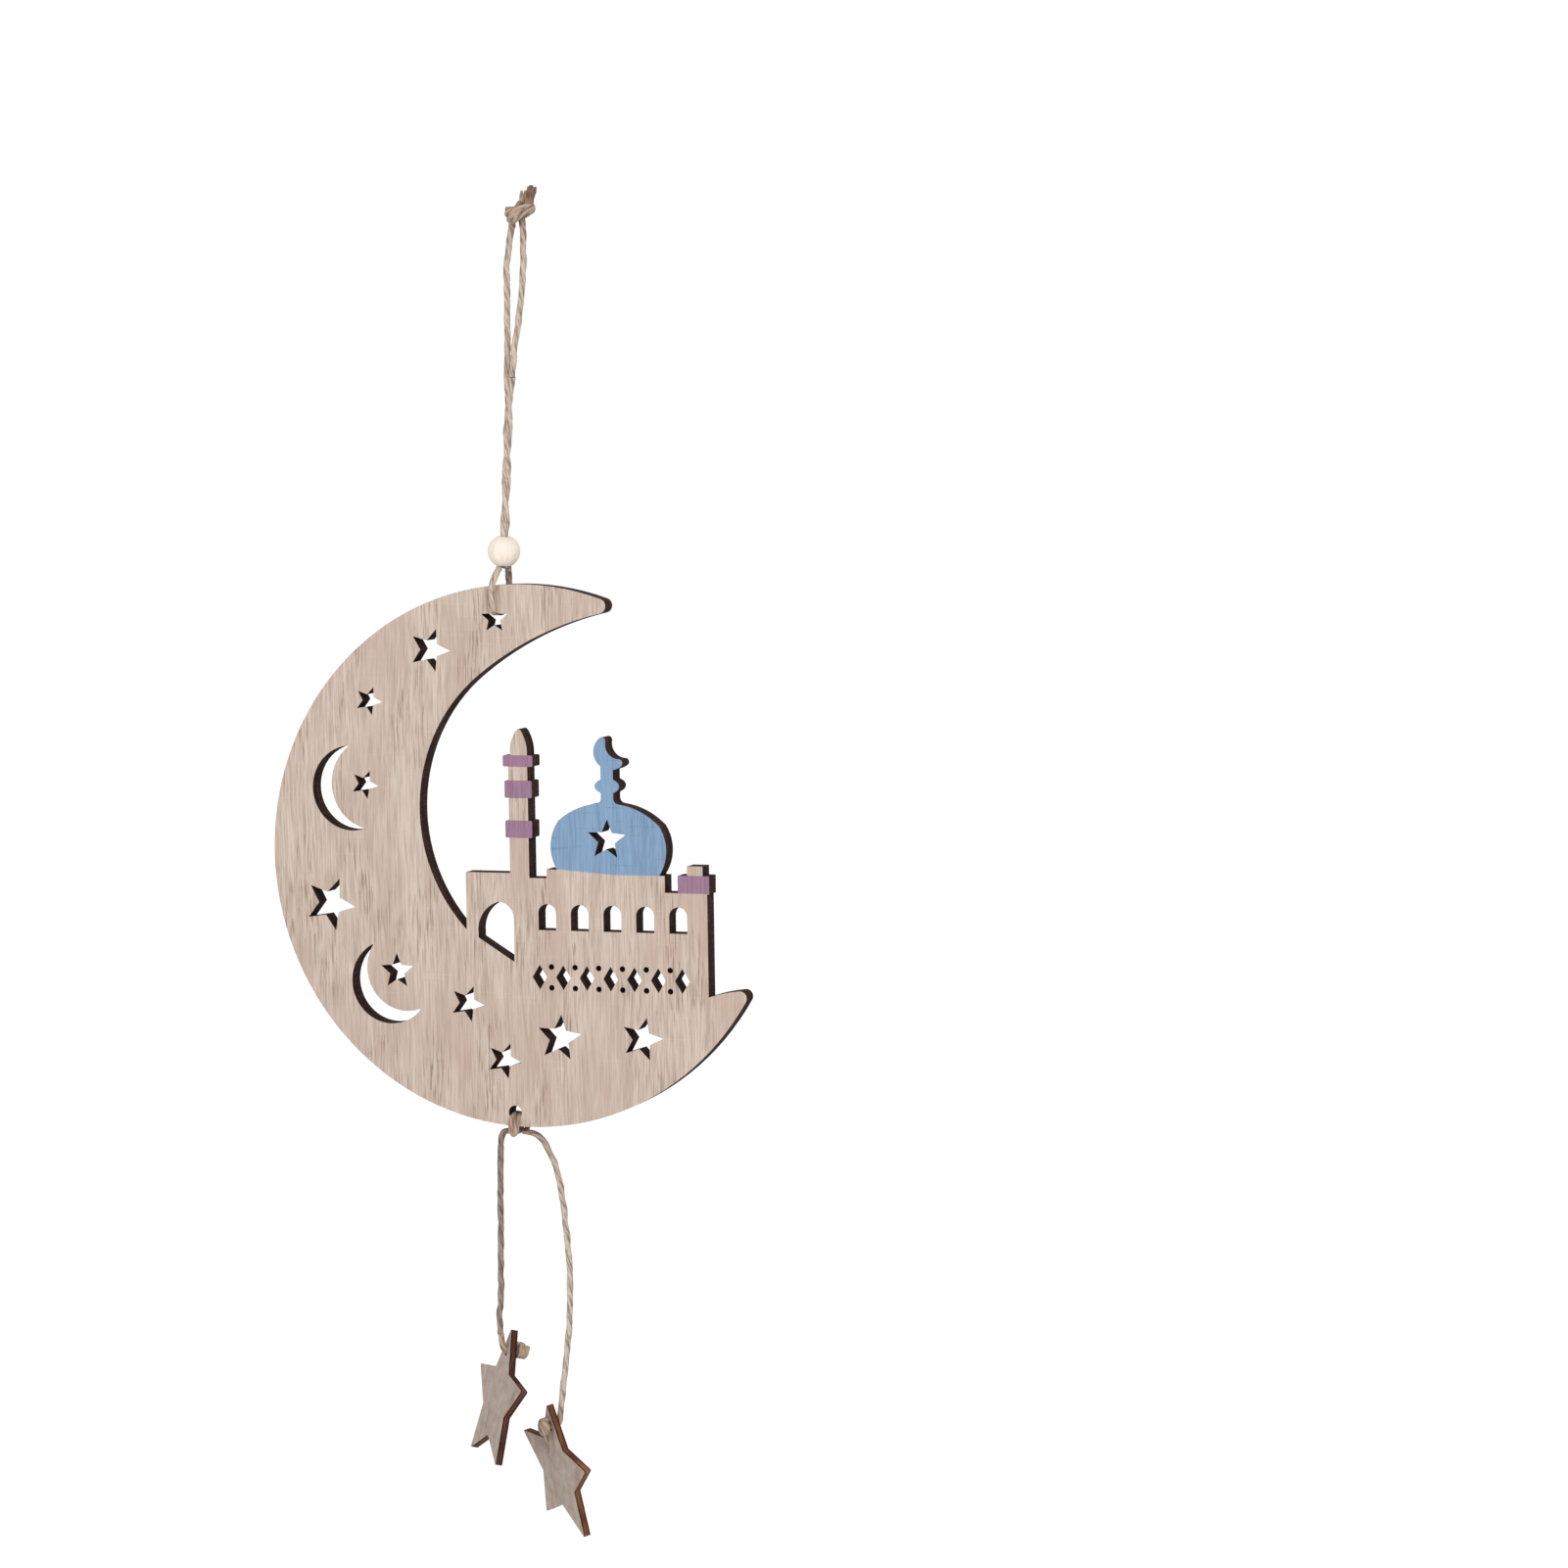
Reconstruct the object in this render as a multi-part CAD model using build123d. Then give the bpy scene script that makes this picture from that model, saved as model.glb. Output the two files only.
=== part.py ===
from build123d import *
import math
import os

# Hanging Eid ornament: a laser-cut crescent board with a mosque standing in its bay,
# hung on jute twine through a wooden bead, with two small stars on twine below it.
# Millimetres, +Z up, the board faces -Y, origin at the top of the hanging eye under the knot.

# Clearances
running_gap = 0.3
strand_gap = 0.1

# Size of the blocks that trim twine square, larger than any knot
trim_size = 30.0

# Twine
twine_diameter = 1.6
pair_diameter = 2.2
edge_bend_radius = 1.6
bend_run_share = 0.45
knot_radius = 3.3
knot_lift = 3.6
knot_tilt = 22.0
tail_length = 3.6
tail_lean = 12.0
tail_shift = 1.3

# Crescent board: drop from the hanging eye to its upper rim, and its round outline
rim_drop = 90.0
board_shift = -0.6
board_radius = 70.0
board_thickness = 5.0
bay_center_x = 15.75
bay_center_z = 11.7
bay_radius = 44.2
bay_upper_angle = 128.0
bay_lower_angle = 232.0
upper_horn_angle = 65.6
upper_horn_round = 1.9
lower_horn_angle = -27.9
lower_horn_round = 1.8
lower_horn_rise = 0.45
lower_horn_length = 11.61
lower_horn_fall = 2.04
bay_cut_reach = 1.6

# Hole for the hanging twine, a small upright star, and the round hole for the pendants
hang_star_x = -6.55
hang_star_inset = 8.8
hang_star_radius = 3.8
hang_axis_lift = 0.5
pendant_hole_x = -3.35
pendant_hole_inset = 3.65
pendant_hole_diameter = 3.6
pendant_strand_sag = 0.45
hitch_bar_drop = 0.5
hitch_reach = 3.25

# Mosque skyline
wall_left = -15.9
wall_foot_z = -40.0
left_roof_z = -4.2
court_z = -5.35
plinth_left = 6.55
plinth_right = 38.85
plinth_left_z = -3.0
plinth_right_z = -4.05
terrace_z = -8.35

# Minaret
minaret_x = -0.87
minaret_width = 5.3
minaret_cap_width = 4.7
minaret_cap_z = 26.1
minaret_top_z = 32.95
minaret_flank_z = 30.35
minaret_flank_half = 1.75
balcony_sizes = [(8.2, 23.25, 26.15), (7.5, 15.2, 19.65), (7.4, 4.95, 9.35)]
balcony_round = 0.35

# Corner tower
tower_width = 8.5
tower_overhang = 0.6
tower_foot_z = -8.5
tower_top_z = -3.9
tower_stub_width = 4.2
tower_stub_inset = 1.15
tower_stub_z = -1.45

# Dome and its finial
dome_x = 23.35
dome_base_z = -3.6
dome_base_half = 13.95
dome_half = 15.8
dome_belly_rise = 6.3
dome_shoulder_half = 13.75
dome_shoulder_rise = 12.7
dome_flank_half = 9.3
dome_flank_rise = 15.75
dome_rise = 17.75
dome_crown_half = 0.8
dome_tilt = 2.3
finial_x = 23.55
finial_neck_width = 3.4
finial_ball_z = 18.55
finial_ball_half = 3.35
finial_ball_rise = 1.95
finial_moon_x = 24.6
finial_moon_z = 27.3
finial_moon_radius = 4.6
finial_bite_x = 26.95
finial_bite_z = 29.2
finial_bite_radius = 3.7
finial_tip_round = 1.0
finial_flare = 1.5
finial_collar_round = 0.4

# Windows and door
window_count = 5
window_first_x = 4.1
window_pitch = 8.95
window_width = 4.85
window_sill_z = -18.75
window_crown_z = -12.0
door_left = -12.65
door_right = -2.75
door_crown_x = -6.9
door_crown_z = -11.7
door_left_shoulder = (-10.3, -13.6)
door_right_shoulder = (-3.95, -13.0)
door_left_spring_z = -20.0
door_right_spring_z = -16.0
door_left_sill_z = -21.1
door_right_sill_z = -27.2

# Pierced frieze of lozenges and dots under the windows
frieze_count = 7
frieze_first_x = 4.2
frieze_pitch = 6.5
frieze_z = -30.9
lozenge_width = 4.0
lozenge_height = 6.4
frieze_dot_diameter = 1.5
frieze_dot_offset = 2.7

# Star cut-outs: centre, tip radius, turn from upright
star_points = 5
star_notch_ratio = 0.44
star_cutouts = [
    (-24.76, 53.06, 5.8, -20.0),
    (-42.2, 39.84, 3.85, -23.0),
    (-43.86, 18.06, 3.9, -24.0),
    (-54.44, -13.3, 7.2, -23.5),
    (-35.78, -30.54, 4.75, 0.0),
    (-16.16, -38.4, 4.9, -22.3),
    (-6.18, -52.9, 4.9, -22.7),
    (9.24, -46.6, 6.2, -6.6),
    (31.92, -46.14, 5.8, -14.5),
    (23.18, 4.81, 5.35, -2.7),
]

# Moon cut-outs: outer circle, then the circle that its inner edge follows
moon_tip_round = 0.15
moon_cutouts = [
    (-47.5, 17.05, 11.1, -41.2, 18.2, 12.0),
    (-37.7, -33.4, 10.9, -33.25, -29.9, 11.0),
]

# Bead
bead_diameter = 8.3
bead_mouth_round = 0.3

# Pendant stars, cut from thin ply
pendant_star_radius = 19.0
pendant_star_notch_ratio = 0.5
pendant_star_thickness = 1.8
pendant_star_corner_round = 0.35
pendant_star_hole_reach = 12.7
pendant_star_hole_diameter = 2.2
pendant_cord_standoff = 1.0
pendant_cord_rise = 4.6
pendant_knot_ring = 1.35
pendant_knot_rise = 0.6
pendant_knot_slant = 14.0
pendant_knot_tail = 4.5
left_knot_turns = 3
right_knot_turns = 2
pendant_tail_diameter = 1.0

# Routes of the twine, as it hangs
pair_top = Vector(-2.6, 0, -37.4)
bead_shift = -5.1
bead_over_rim = 4.15
pair_lead = 6.4
loop_shift = 0.85
loop_rim_shift = 1.275
eye_z = 0.8
left_leg_route = [(-1.3, 0, eye_z), (-2.3, 0, -4.5), (-3.0, 0, -12.0), (-2.85, 0, -22.0)]
right_leg_route = [(1.75, 0, eye_z), (1.95, 0, -6.0), (1.3, 0, -15.0), (0.2, 0, -23.0)]

# Where each pendant star hangs: drop from the board's lower rim to the star's middle, shift to
# the right and to the back, then turn about Z, lean and roll
left_star_drop = 72.3
left_star_shift = -11.6
left_star_back = -1.2
left_star_turn = (-50.2, -14.4, 0.0)
right_star_drop = 90.6
right_star_shift = 4.75
right_star_back = 0.0
right_star_turn = (-42.8, 11.1, 6.3)

# Each pendant twine: its slope to the right just above its star and the length of that run, its
# widest bulge, and the corners of its route as shares of that bulge and of its drop
left_cord_slope = 0.1
left_cord_lead = 4.0
left_cord_bulge = -2.75
left_cord_shares = [(0.327, 0), (0.618, 0.0225), (0.727, 0.06), (0.818, 0.141), (1, 0.825)]
right_cord_slope = -0.12
right_cord_lead = 5.0
right_cord_bulge = 10.2
right_cord_shares = [
    (0.147, 0), (0.343, 0.0309), (0.569, 0.0743), (0.745, 0.132), (0.858, 0.229),
    (0.941, 0.365), (1, 0.519), (0.966, 0.673), (0.843, 0.842),
]

# Derived places and sizes
twine_radius = twine_diameter / 2
half_board = board_thickness / 2
board_center = Vector(board_shift, 0, -rim_drop - board_radius)
bead_center = Vector(bead_shift, 0, -rim_drop + bead_over_rim + bead_diameter / 2)
lower_rim_z = -rim_drop - 2 * board_radius
lower_tip_x = board_radius * math.cos(math.radians(lower_horn_angle))
lower_tip_z = board_radius * math.sin(math.radians(lower_horn_angle))
wall_right = lower_tip_x - lower_horn_length
tower_right = wall_right + tower_overhang
tower_left = tower_right - tower_width
tower_stub_right = wall_right - tower_stub_inset
tower_stub_left = tower_stub_right - tower_stub_width
left_star_place = (left_star_shift, left_star_back, lower_rim_z - left_star_drop, *left_star_turn)
right_star_place = (right_star_shift, right_star_back, lower_rim_z - right_star_drop, *right_star_turn)
pair_axis = (bead_center - pair_top).normalized()
pair_side = pair_axis.cross(Vector(0, 1, 0))
bead_bore = pair_diameter / 2 + running_gap
bead_half_height = math.sqrt((bead_diameter / 2) ** 2 - bead_bore ** 2)
pair_bottom = bead_center + pair_axis * (bead_half_height + running_gap)
strand_offset = (twine_diameter + strand_gap) / 2
strand_out = half_board + edge_bend_radius
hang_axis_z = board_radius - hang_star_inset + hang_axis_lift
pendant_hole_z = -(board_radius - pendant_hole_inset)


def on_board(x, y, z):
    return Vector(board_center.X + x, y, board_center.Z + z)


def polar(radius, angle):
    return (radius * math.cos(math.radians(angle)), radius * math.sin(math.radians(angle)))


def star_face(tip_radius, notch_ratio, turn):
    points = []
    for i in range(2 * star_points):
        radius = tip_radius if i % 2 == 0 else tip_radius * notch_ratio
        points.append(polar(radius, 90 + turn + 180 / star_points * i))
    return make_face(Polyline(*points, close=True))


def moon_face(x, z, radius, bite_x, bite_z, bite_radius, tip_round):
    moon = Pos(x, z) * Circle(radius) - Pos(bite_x, bite_z) * Circle(bite_radius)
    return fillet(moon.vertices(), tip_round)


def arch_face(left, right, sill, crown):
    spring = crown - (right - left) / 2
    sides = Polyline((left, spring), (left, sill), (right, sill), (right, spring))
    top = ThreePointArc((right, spring), ((left + right) / 2, crown), (left, spring))
    return make_face(Curve() + [sides, top])


def bay_void():
    """Everything right of the crescent: its bay, open to the side between the two horns."""
    center = Vector(bay_center_x, bay_center_z)
    upper = center + Vector(*polar(bay_radius, bay_upper_angle))
    lower = center + Vector(*polar(bay_radius, bay_lower_angle))
    upper_tip = Vector(*polar(board_radius, upper_horn_angle))
    lower_tip = Vector(lower_tip_x, lower_tip_z)
    foot = Vector(wall_right, lower_tip_z - lower_horn_fall)
    along = Vector(*polar(1, bay_upper_angle - 90))
    edges = [
        TangentArc(upper, upper_tip, tangent=along),
        CenterArc(center, bay_radius, bay_upper_angle, bay_lower_angle - bay_upper_angle),
        Line(lower, foot),
        SagittaArc(foot, lower_tip, lower_horn_rise),
        Polyline(lower_tip, lower_tip * bay_cut_reach, upper_tip * bay_cut_reach, upper_tip),
    ]
    return make_face(Curve() + edges)


def crescent_face():
    face = Circle(board_radius) - bay_void()
    for angle, size in ((upper_horn_angle, upper_horn_round), (lower_horn_angle, lower_horn_round)):
        tip = Vector(*polar(board_radius, angle))
        corner = face.vertices().sort_by_distance(tip)[0]
        face = fillet(corner, size)
    return face


def minaret_face():
    left = minaret_x - minaret_width / 2
    right = minaret_x + minaret_width / 2
    shaft = make_face(Polyline((left, wall_foot_z), (right, wall_foot_z), (right, minaret_cap_z),
                               (left, minaret_cap_z), close=True))
    half = minaret_cap_width / 2
    cap_x = minaret_x + (minaret_width - minaret_cap_width) / 2
    cap = make_face(Curve() + [
        Line((cap_x - half, minaret_cap_z), (cap_x + half, minaret_cap_z)),
        Spline((cap_x + half, minaret_cap_z), (cap_x + minaret_flank_half, minaret_flank_z),
               (cap_x, minaret_top_z), (cap_x - minaret_flank_half, minaret_flank_z),
               (cap_x - half, minaret_cap_z),
               tangents=[(0, 1), (0, -1)]),
    ])
    minaret = shaft + cap
    for width, low, high in balcony_sizes:
        balcony = Pos(minaret_x, (low + high) / 2) * RectangleRounded(width, high - low, balcony_round)
        minaret += balcony
    return minaret


def dome_face():
    def side(sign):
        base = (sign * dome_base_half, 0)
        belly = (sign * dome_half, dome_belly_rise)
        shoulder = (sign * dome_shoulder_half, dome_shoulder_rise)
        flank = (sign * dome_flank_half, dome_flank_rise)
        crown = (sign * dome_crown_half, dome_rise)
        return [ThreePointArc(base, belly, shoulder), ThreePointArc(shoulder, flank, crown)]

    base = Line((-dome_base_half, 0), (dome_base_half, 0))
    top = Line((-dome_crown_half, dome_rise), (dome_crown_half, dome_rise))
    outline = make_face(Curve() + [base, top] + side(-1) + side(1))
    foot_depth = dome_base_half * math.tan(math.radians(dome_tilt)) + dome_half - dome_base_half
    foot = make_face(Polyline((-dome_base_half, 0), (dome_base_half, 0), (dome_base_half, -foot_depth),
                              (-dome_base_half, -foot_depth), close=True))
    dome = Pos(dome_x, dome_base_z) * Rot(0, 0, -dome_tilt) * (outline + foot)

    neck_low = dome_base_z + dome_rise - dome_tilt
    neck_high = finial_moon_z - finial_moon_radius / 2
    neck = Pos(finial_x, (neck_low + neck_high) / 2) * Rectangle(finial_neck_width, neck_high - neck_low)
    ball = Pos(finial_x, finial_ball_z) * Ellipse(finial_ball_half, finial_ball_rise)
    moon = moon_face(finial_moon_x, finial_moon_z, finial_moon_radius,
                     finial_bite_x, finial_bite_z, finial_bite_radius, finial_tip_round)
    face = dome + neck + ball + moon
    crown_z = dome_base_z + dome_rise
    for side in (-1, 1):
        flank_x = finial_x + side * finial_neck_width / 2
        for z, size in ((crown_z, finial_flare), (finial_ball_z - finial_ball_rise, finial_collar_round),
                        (finial_ball_z + finial_ball_rise, finial_collar_round)):
            corner = face.vertices().sort_by_distance((flank_x, z))[0]
            face = fillet(corner, size)
    return face


def mosque_face():
    walls = make_face(Polyline(
        (wall_left, wall_foot_z),
        (wall_right, wall_foot_z),
        (wall_right, terrace_z),
        (plinth_right, terrace_z),
        (plinth_right, plinth_right_z),
        (plinth_left, plinth_left_z),
        (plinth_left, court_z),
        (minaret_x, court_z),
        (minaret_x, left_roof_z),
        (wall_left, left_roof_z),
        close=True))
    tower = make_face(Polyline((tower_left, tower_foot_z), (tower_right, tower_foot_z),
                               (tower_right, tower_top_z), (tower_left, tower_top_z), close=True))
    stub = make_face(Polyline((tower_stub_left, tower_foot_z), (tower_stub_right, tower_foot_z),
                              (tower_stub_right, tower_stub_z), (tower_stub_left, tower_stub_z), close=True))
    return walls + tower + stub + minaret_face() + dome_face()


def door_face():
    crown = (door_crown_x, door_crown_z)
    left_spring = (door_left, door_left_spring_z)
    right_spring = (door_right, door_right_spring_z)
    return make_face(Curve() + [
        ThreePointArc(left_spring, door_left_shoulder, crown),
        ThreePointArc(crown, door_right_shoulder, right_spring),
        Polyline(right_spring, (door_right, door_right_sill_z), (door_left, door_left_sill_z), left_spring),
    ])


def lozenge_face():
    half_w = lozenge_width / 2
    half_h = lozenge_height / 2
    return make_face(Polyline((half_w, 0), (0, half_h), (-half_w, 0), (0, -half_h), close=True))


def board_cutouts():
    cuts = [door_face()]
    for i in range(window_count):
        left = window_first_x + i * window_pitch
        cuts.append(arch_face(left, left + window_width, window_sill_z, window_crown_z))
    for i in range(frieze_count):
        x = frieze_first_x + i * frieze_pitch
        cuts.append(Pos(x, frieze_z) * lozenge_face())
        if i + 1 < frieze_count:
            for side in (-1, 1):
                dot_z = frieze_z + side * frieze_dot_offset
                cuts.append(Pos(x + frieze_pitch / 2, dot_z) * Circle(frieze_dot_diameter / 2))
    for x, z, radius, turn in star_cutouts:
        cuts.append(Pos(x, z) * star_face(radius, star_notch_ratio, turn))
    for moon in moon_cutouts:
        cuts.append(moon_face(*moon, moon_tip_round))
    hang_star_z = board_radius - hang_star_inset
    cuts.append(Pos(hang_star_x, hang_star_z) * star_face(hang_star_radius, star_notch_ratio, 0))
    cuts.append(Pos(pendant_hole_x, pendant_hole_z) * Circle(pendant_hole_diameter / 2))
    return cuts


def crescent_plate():
    face = crescent_face() + mosque_face()
    for cut in board_cutouts():
        face = face - cut
    board = extrude(Plane.XZ * face, amount=half_board, both=True)
    return Pos(board_center) * board


def bend_radii(points):
    """Each arc takes up the same share of the shorter of its two runs."""
    radii = []
    for before, here, after in zip(points, points[1:], points[2:]):
        inward = Vector(here) - Vector(before)
        outward = Vector(after) - Vector(here)
        turn = math.radians(inward.get_angle(outward))
        radii.append(bend_run_share * min(inward.length, outward.length) / math.tan(turn / 2))
    return radii


def twine(name, points, radii=None):
    """A round length of twine along straight runs joined by tangent arcs."""
    radii = radii or bend_radii(points)
    path = FilletPolyline(*points, radius=radii)
    start = Plane(origin=path @ 0, z_dir=path % 0)
    tube = sweep(start * Circle(twine_radius), path=path)
    share = tube.volume / (math.pi * twine_radius ** 2 * path.length)
    bends = " ".join(f"{radius:.1f}" for radius in radii)
    print(f"{name}: length {path.length:.1f} mm, bend radii {bends}, volume share {share:.4f}")
    return tube


def trim_block():
    return Box(trim_size, trim_size, trim_size)


def hanger_leg(name, route, side):
    """One side of the hanging eye, from under the knot to the top of the twisted pair."""
    end = pair_top + pair_side * side * strand_offset
    return twine(name, route + [end - pair_axis * pair_lead, end])


def hanger_twisted_pair():
    start = Plane(origin=pair_top, z_dir=pair_axis)
    return extrude(start * Circle(pair_diameter / 2), amount=(pair_bottom - pair_top).length)


def hanger_knot():
    """Overhand knot of both strands: two slanting wraps round the strands, and two cut tails."""
    middle = Vector((left_leg_route[0][0] + right_leg_route[0][0]) / 2 + twine_radius, 0, eye_z + knot_lift)
    place = Pos(middle) * Rot(0, -knot_tilt, 0)
    ring = knot_radius - twine_radius / 2
    knot = place * Cylinder(ring, 2 * twine_diameter)
    for side in (-1, 1):
        knot += place * Pos(0, 0, side * strand_offset) * Torus(ring, twine_radius + strand_gap)
    for x in (left_leg_route[0][0], right_leg_route[0][0]):
        top = Vector(x, 0, eye_z)
        strand = extrude(Plane(origin=top, z_dir=(middle - top)) * Circle(twine_radius),
                         amount=(middle - top).length)
        knot += strand
    for side in (-1, 1):
        tail = Pos(middle.X + tail_shift, 0, middle.Z) * Rot(side * tail_lean, tail_lean, 0)
        knot += tail * Pos(0, 0, (tail_length + ring) / 2) * Cylinder(twine_radius, tail_length + ring)
    below = Pos(middle.X, 0, eye_z - trim_size / 2) * trim_block()
    return knot - below


def spacer_bead():
    bead = Sphere(bead_diameter / 2) - Cylinder(bead_bore, 2 * bead_diameter)
    mouths = bead.edges().filter_by(GeomType.CIRCLE).group_by(SortBy.RADIUS)[0]
    bead = fillet(mouths, bead_mouth_round)
    return Plane(origin=bead_center, z_dir=pair_axis) * bead


def hanger_plate_loop():
    """One strand down the back of the board, through the star hole and up the front to the bead."""
    rim_z = math.sqrt(board_radius ** 2 - hang_star_x ** 2)
    over_rim = on_board(hang_star_x + loop_rim_shift, 0, rim_z + twine_diameter)
    through = on_board(hang_star_x, 0, hang_axis_z)
    above = Plane(origin=pair_bottom, z_dir=pair_axis) * Pos(0, 0, -trim_size / 2) * trim_block()
    loop = None
    for name, side in (("back", 1), ("front", -1)):
        top = pair_bottom + Vector(side * loop_shift, side * loop_shift, 0)
        rim = over_rim + Vector(side * strand_offset / 2, side * strand_out, 0)
        over = top + (top - rim).normalized() * twine_diameter
        points = [through, through + Vector(0, side * strand_out, 0), rim, over]
        radii = bend_radii(points)
        radii[0] = edge_bend_radius
        half = twine(f"hanger_plate_loop {name}", points, radii) - above
        loop = half if loop is None else loop + half
    return loop


def hitch_ends():
    """Left and right places where the pendant twine leaves its hitch, under the board's rim."""
    rim_z = -math.sqrt(board_radius ** 2 - pendant_hole_x ** 2)
    z = rim_z - running_gap - twine_diameter
    return on_board(pendant_hole_x - hitch_reach, 0, z), on_board(pendant_hole_x + hitch_reach, 0, z)


def pendant_hitch():
    """Bight of the pendant twine: through the hole, down the front, and its ends under the rim."""
    left_end, right_end = hitch_ends()
    strand_z = board_center.Z + pendant_hole_z - pendant_strand_sag
    bar_z = left_end.Z - hitch_bar_drop
    bar_half = strand_offset + strand_gap
    x = board_center.X + pendant_hole_x
    points = []
    for side in (-1, 1):
        half = [
            left_end if side == -1 else right_end,
            Vector(x + side * strand_offset, 0, left_end.Z),
            Vector(x + side * strand_offset, strand_out, left_end.Z),
            Vector(x + side * strand_offset, strand_out, strand_z),
            Vector(x + side * strand_offset, -strand_out, strand_z),
            Vector(x + side * bar_half, -strand_out, bar_z),
        ]
        points += half if side == -1 else half[::-1]
    bends = [edge_bend_radius] * 4 + [bar_half - strand_gap / 2]
    return twine("pendant_hitch", points, bends + bends[::-1])


def star_frame(place):
    x, y, z, turn, lean, roll = place
    return Pos(x, y, z) * Rot(0, 0, turn) * Rot(lean, 0, 0) * Rot(0, roll, 0)


def pendant_star(place):
    face = star_face(pendant_star_radius, pendant_star_notch_ratio, 0)
    tips = face.vertices().sort_by_distance((0, 0))[-star_points:]
    face = fillet(tips, pendant_star_corner_round)
    face = face - Pos(0, pendant_star_hole_reach) * Circle(pendant_star_hole_diameter / 2)
    star = extrude(Plane.XZ * face, amount=-pendant_star_thickness)
    return star_frame(place) * star


def in_star(place, x, y, z):
    return (star_frame(place) * Pos(x, y, z)).position


def cord_corner(place, from_front):
    """The point beside the star's hole where its twine turns from hanging to crossing the star."""
    y = -pendant_cord_standoff if from_front else pendant_star_thickness + pendant_cord_standoff
    return in_star(place, 0, y, pendant_star_hole_reach)


def down_along(slope):
    return Vector(slope, 0, -1).normalized()


def cord_end(place, from_front, slope):
    return cord_corner(place, from_front) - down_along(slope) * pendant_cord_rise


def pendant_knot(name, place, from_front, slope, turns, tail):
    """End of a pendant twine: down to its star, through the hole, and knotted on the far side."""
    outward = 1 if from_front else -1
    face_y = pendant_star_thickness if from_front else 0
    seat = running_gap + twine_radius
    stop = in_star(place, 0, face_y + outward * twine_diameter, pendant_star_hole_reach)
    points = [cord_end(place, from_front, slope), cord_corner(place, from_front), stop]
    knot = twine(name, points, [pendant_cord_standoff])
    for step in range(turns):
        y = face_y + outward * (seat + step * twine_radius)
        slant = pendant_knot_slant if step % 2 == 0 else -pendant_knot_slant
        ring = Rot(90 + slant, 0, 0) * Torus(pendant_knot_ring, twine_radius)
        knot += star_frame(place) * Pos(0, y, pendant_star_hole_reach + pendant_knot_rise) * ring
    if tail:
        last_y = face_y + outward * (seat + (turns - 1) * twine_radius)
        middle = in_star(place, 0, last_y, pendant_star_hole_reach)
        plane = Plane(origin=middle, z_dir=(0, 0, -1))
        length = pendant_knot_tail + pendant_knot_ring
        knot += extrude(plane * Circle(pendant_tail_diameter / 2), amount=length)
    return knot


def pendant_knot_left():
    return pendant_knot("pendant_knot_left", left_star_place, True, left_cord_slope,
                        left_knot_turns, False)


def pendant_knot_right():
    return pendant_knot("pendant_knot_right", right_star_place, False, right_cord_slope,
                        right_knot_turns, True)


def pendant_route(start, end, slope, lead, bulge, shares):
    """Route of a pendant twine: each share gives how far out, and how far down, its corner lies."""
    drop = start.Z - end.Z
    corners = [start + Vector(bulge * out, 0, -drop * down) for out, down in shares]
    return [start] + corners + [end - down_along(slope) * lead, end]


def pendant_cord_left():
    start = hitch_ends()[0]
    end = cord_end(left_star_place, True, left_cord_slope)
    return twine("pendant_cord_left", pendant_route(start, end, left_cord_slope, left_cord_lead,
                                                    left_cord_bulge, left_cord_shares))


def pendant_cord_right():
    start = hitch_ends()[1]
    end = cord_end(right_star_place, False, right_cord_slope)
    return twine("pendant_cord_right", pendant_route(start, end, right_cord_slope, right_cord_lead,
                                                     right_cord_bulge, right_cord_shares))


def build_nodes():
    return {
        "crescent_plate": crescent_plate(),
        "spacer_bead": spacer_bead(),
        "hanger_knot": hanger_knot(),
        "hanger_left_leg": hanger_leg("hanger_left_leg", left_leg_route, -1),
        "hanger_right_leg": hanger_leg("hanger_right_leg", right_leg_route, 1),
        "hanger_twisted_pair": hanger_twisted_pair(),
        "hanger_plate_loop": hanger_plate_loop(),
        "pendant_hitch": pendant_hitch(),
        "pendant_cord_left": pendant_cord_left(),
        "pendant_cord_right": pendant_cord_right(),
        "pendant_knot_left": pendant_knot_left(),
        "pendant_knot_right": pendant_knot_right(),
        "pendant_star_left": pendant_star(left_star_place),
        "pendant_star_right": pendant_star(right_star_place),
    }


os.makedirs("parts", exist_ok=True)
for node, shape in build_nodes().items():
    export_step(shape, f"parts/{node}.step")
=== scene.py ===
import math
import bpy
import numpy as np
from mathutils import Matrix, Vector


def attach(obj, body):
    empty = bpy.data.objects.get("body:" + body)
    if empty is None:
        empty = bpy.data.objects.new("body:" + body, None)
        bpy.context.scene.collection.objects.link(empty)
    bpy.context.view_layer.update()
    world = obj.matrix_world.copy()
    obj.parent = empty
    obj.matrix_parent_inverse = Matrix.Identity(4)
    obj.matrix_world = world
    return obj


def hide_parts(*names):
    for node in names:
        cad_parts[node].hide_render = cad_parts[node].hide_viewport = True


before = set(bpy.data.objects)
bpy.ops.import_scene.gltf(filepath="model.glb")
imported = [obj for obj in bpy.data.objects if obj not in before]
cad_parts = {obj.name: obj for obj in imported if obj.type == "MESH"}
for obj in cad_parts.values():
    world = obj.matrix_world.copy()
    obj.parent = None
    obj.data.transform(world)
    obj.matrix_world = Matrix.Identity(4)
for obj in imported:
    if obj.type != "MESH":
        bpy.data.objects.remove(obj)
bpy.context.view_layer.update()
mm = 0.001
fullTurn = 2 * math.pi
chance = np.random.default_rng(11)


def addObject(name, data):
    made = bpy.data.objects.new(name, data)
    bpy.context.scene.collection.objects.link(made)
    return made


# camera: to the ornament's right and a little above its middle, looking slightly down

view = {"place": (424.886, -1031.768, -45.461), "azimuth": 18.992, "elevation": 4.970,
        "roll": -0.805, "lens": 100.0, "sensor": 36.0, "nearest": 0.05}


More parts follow.
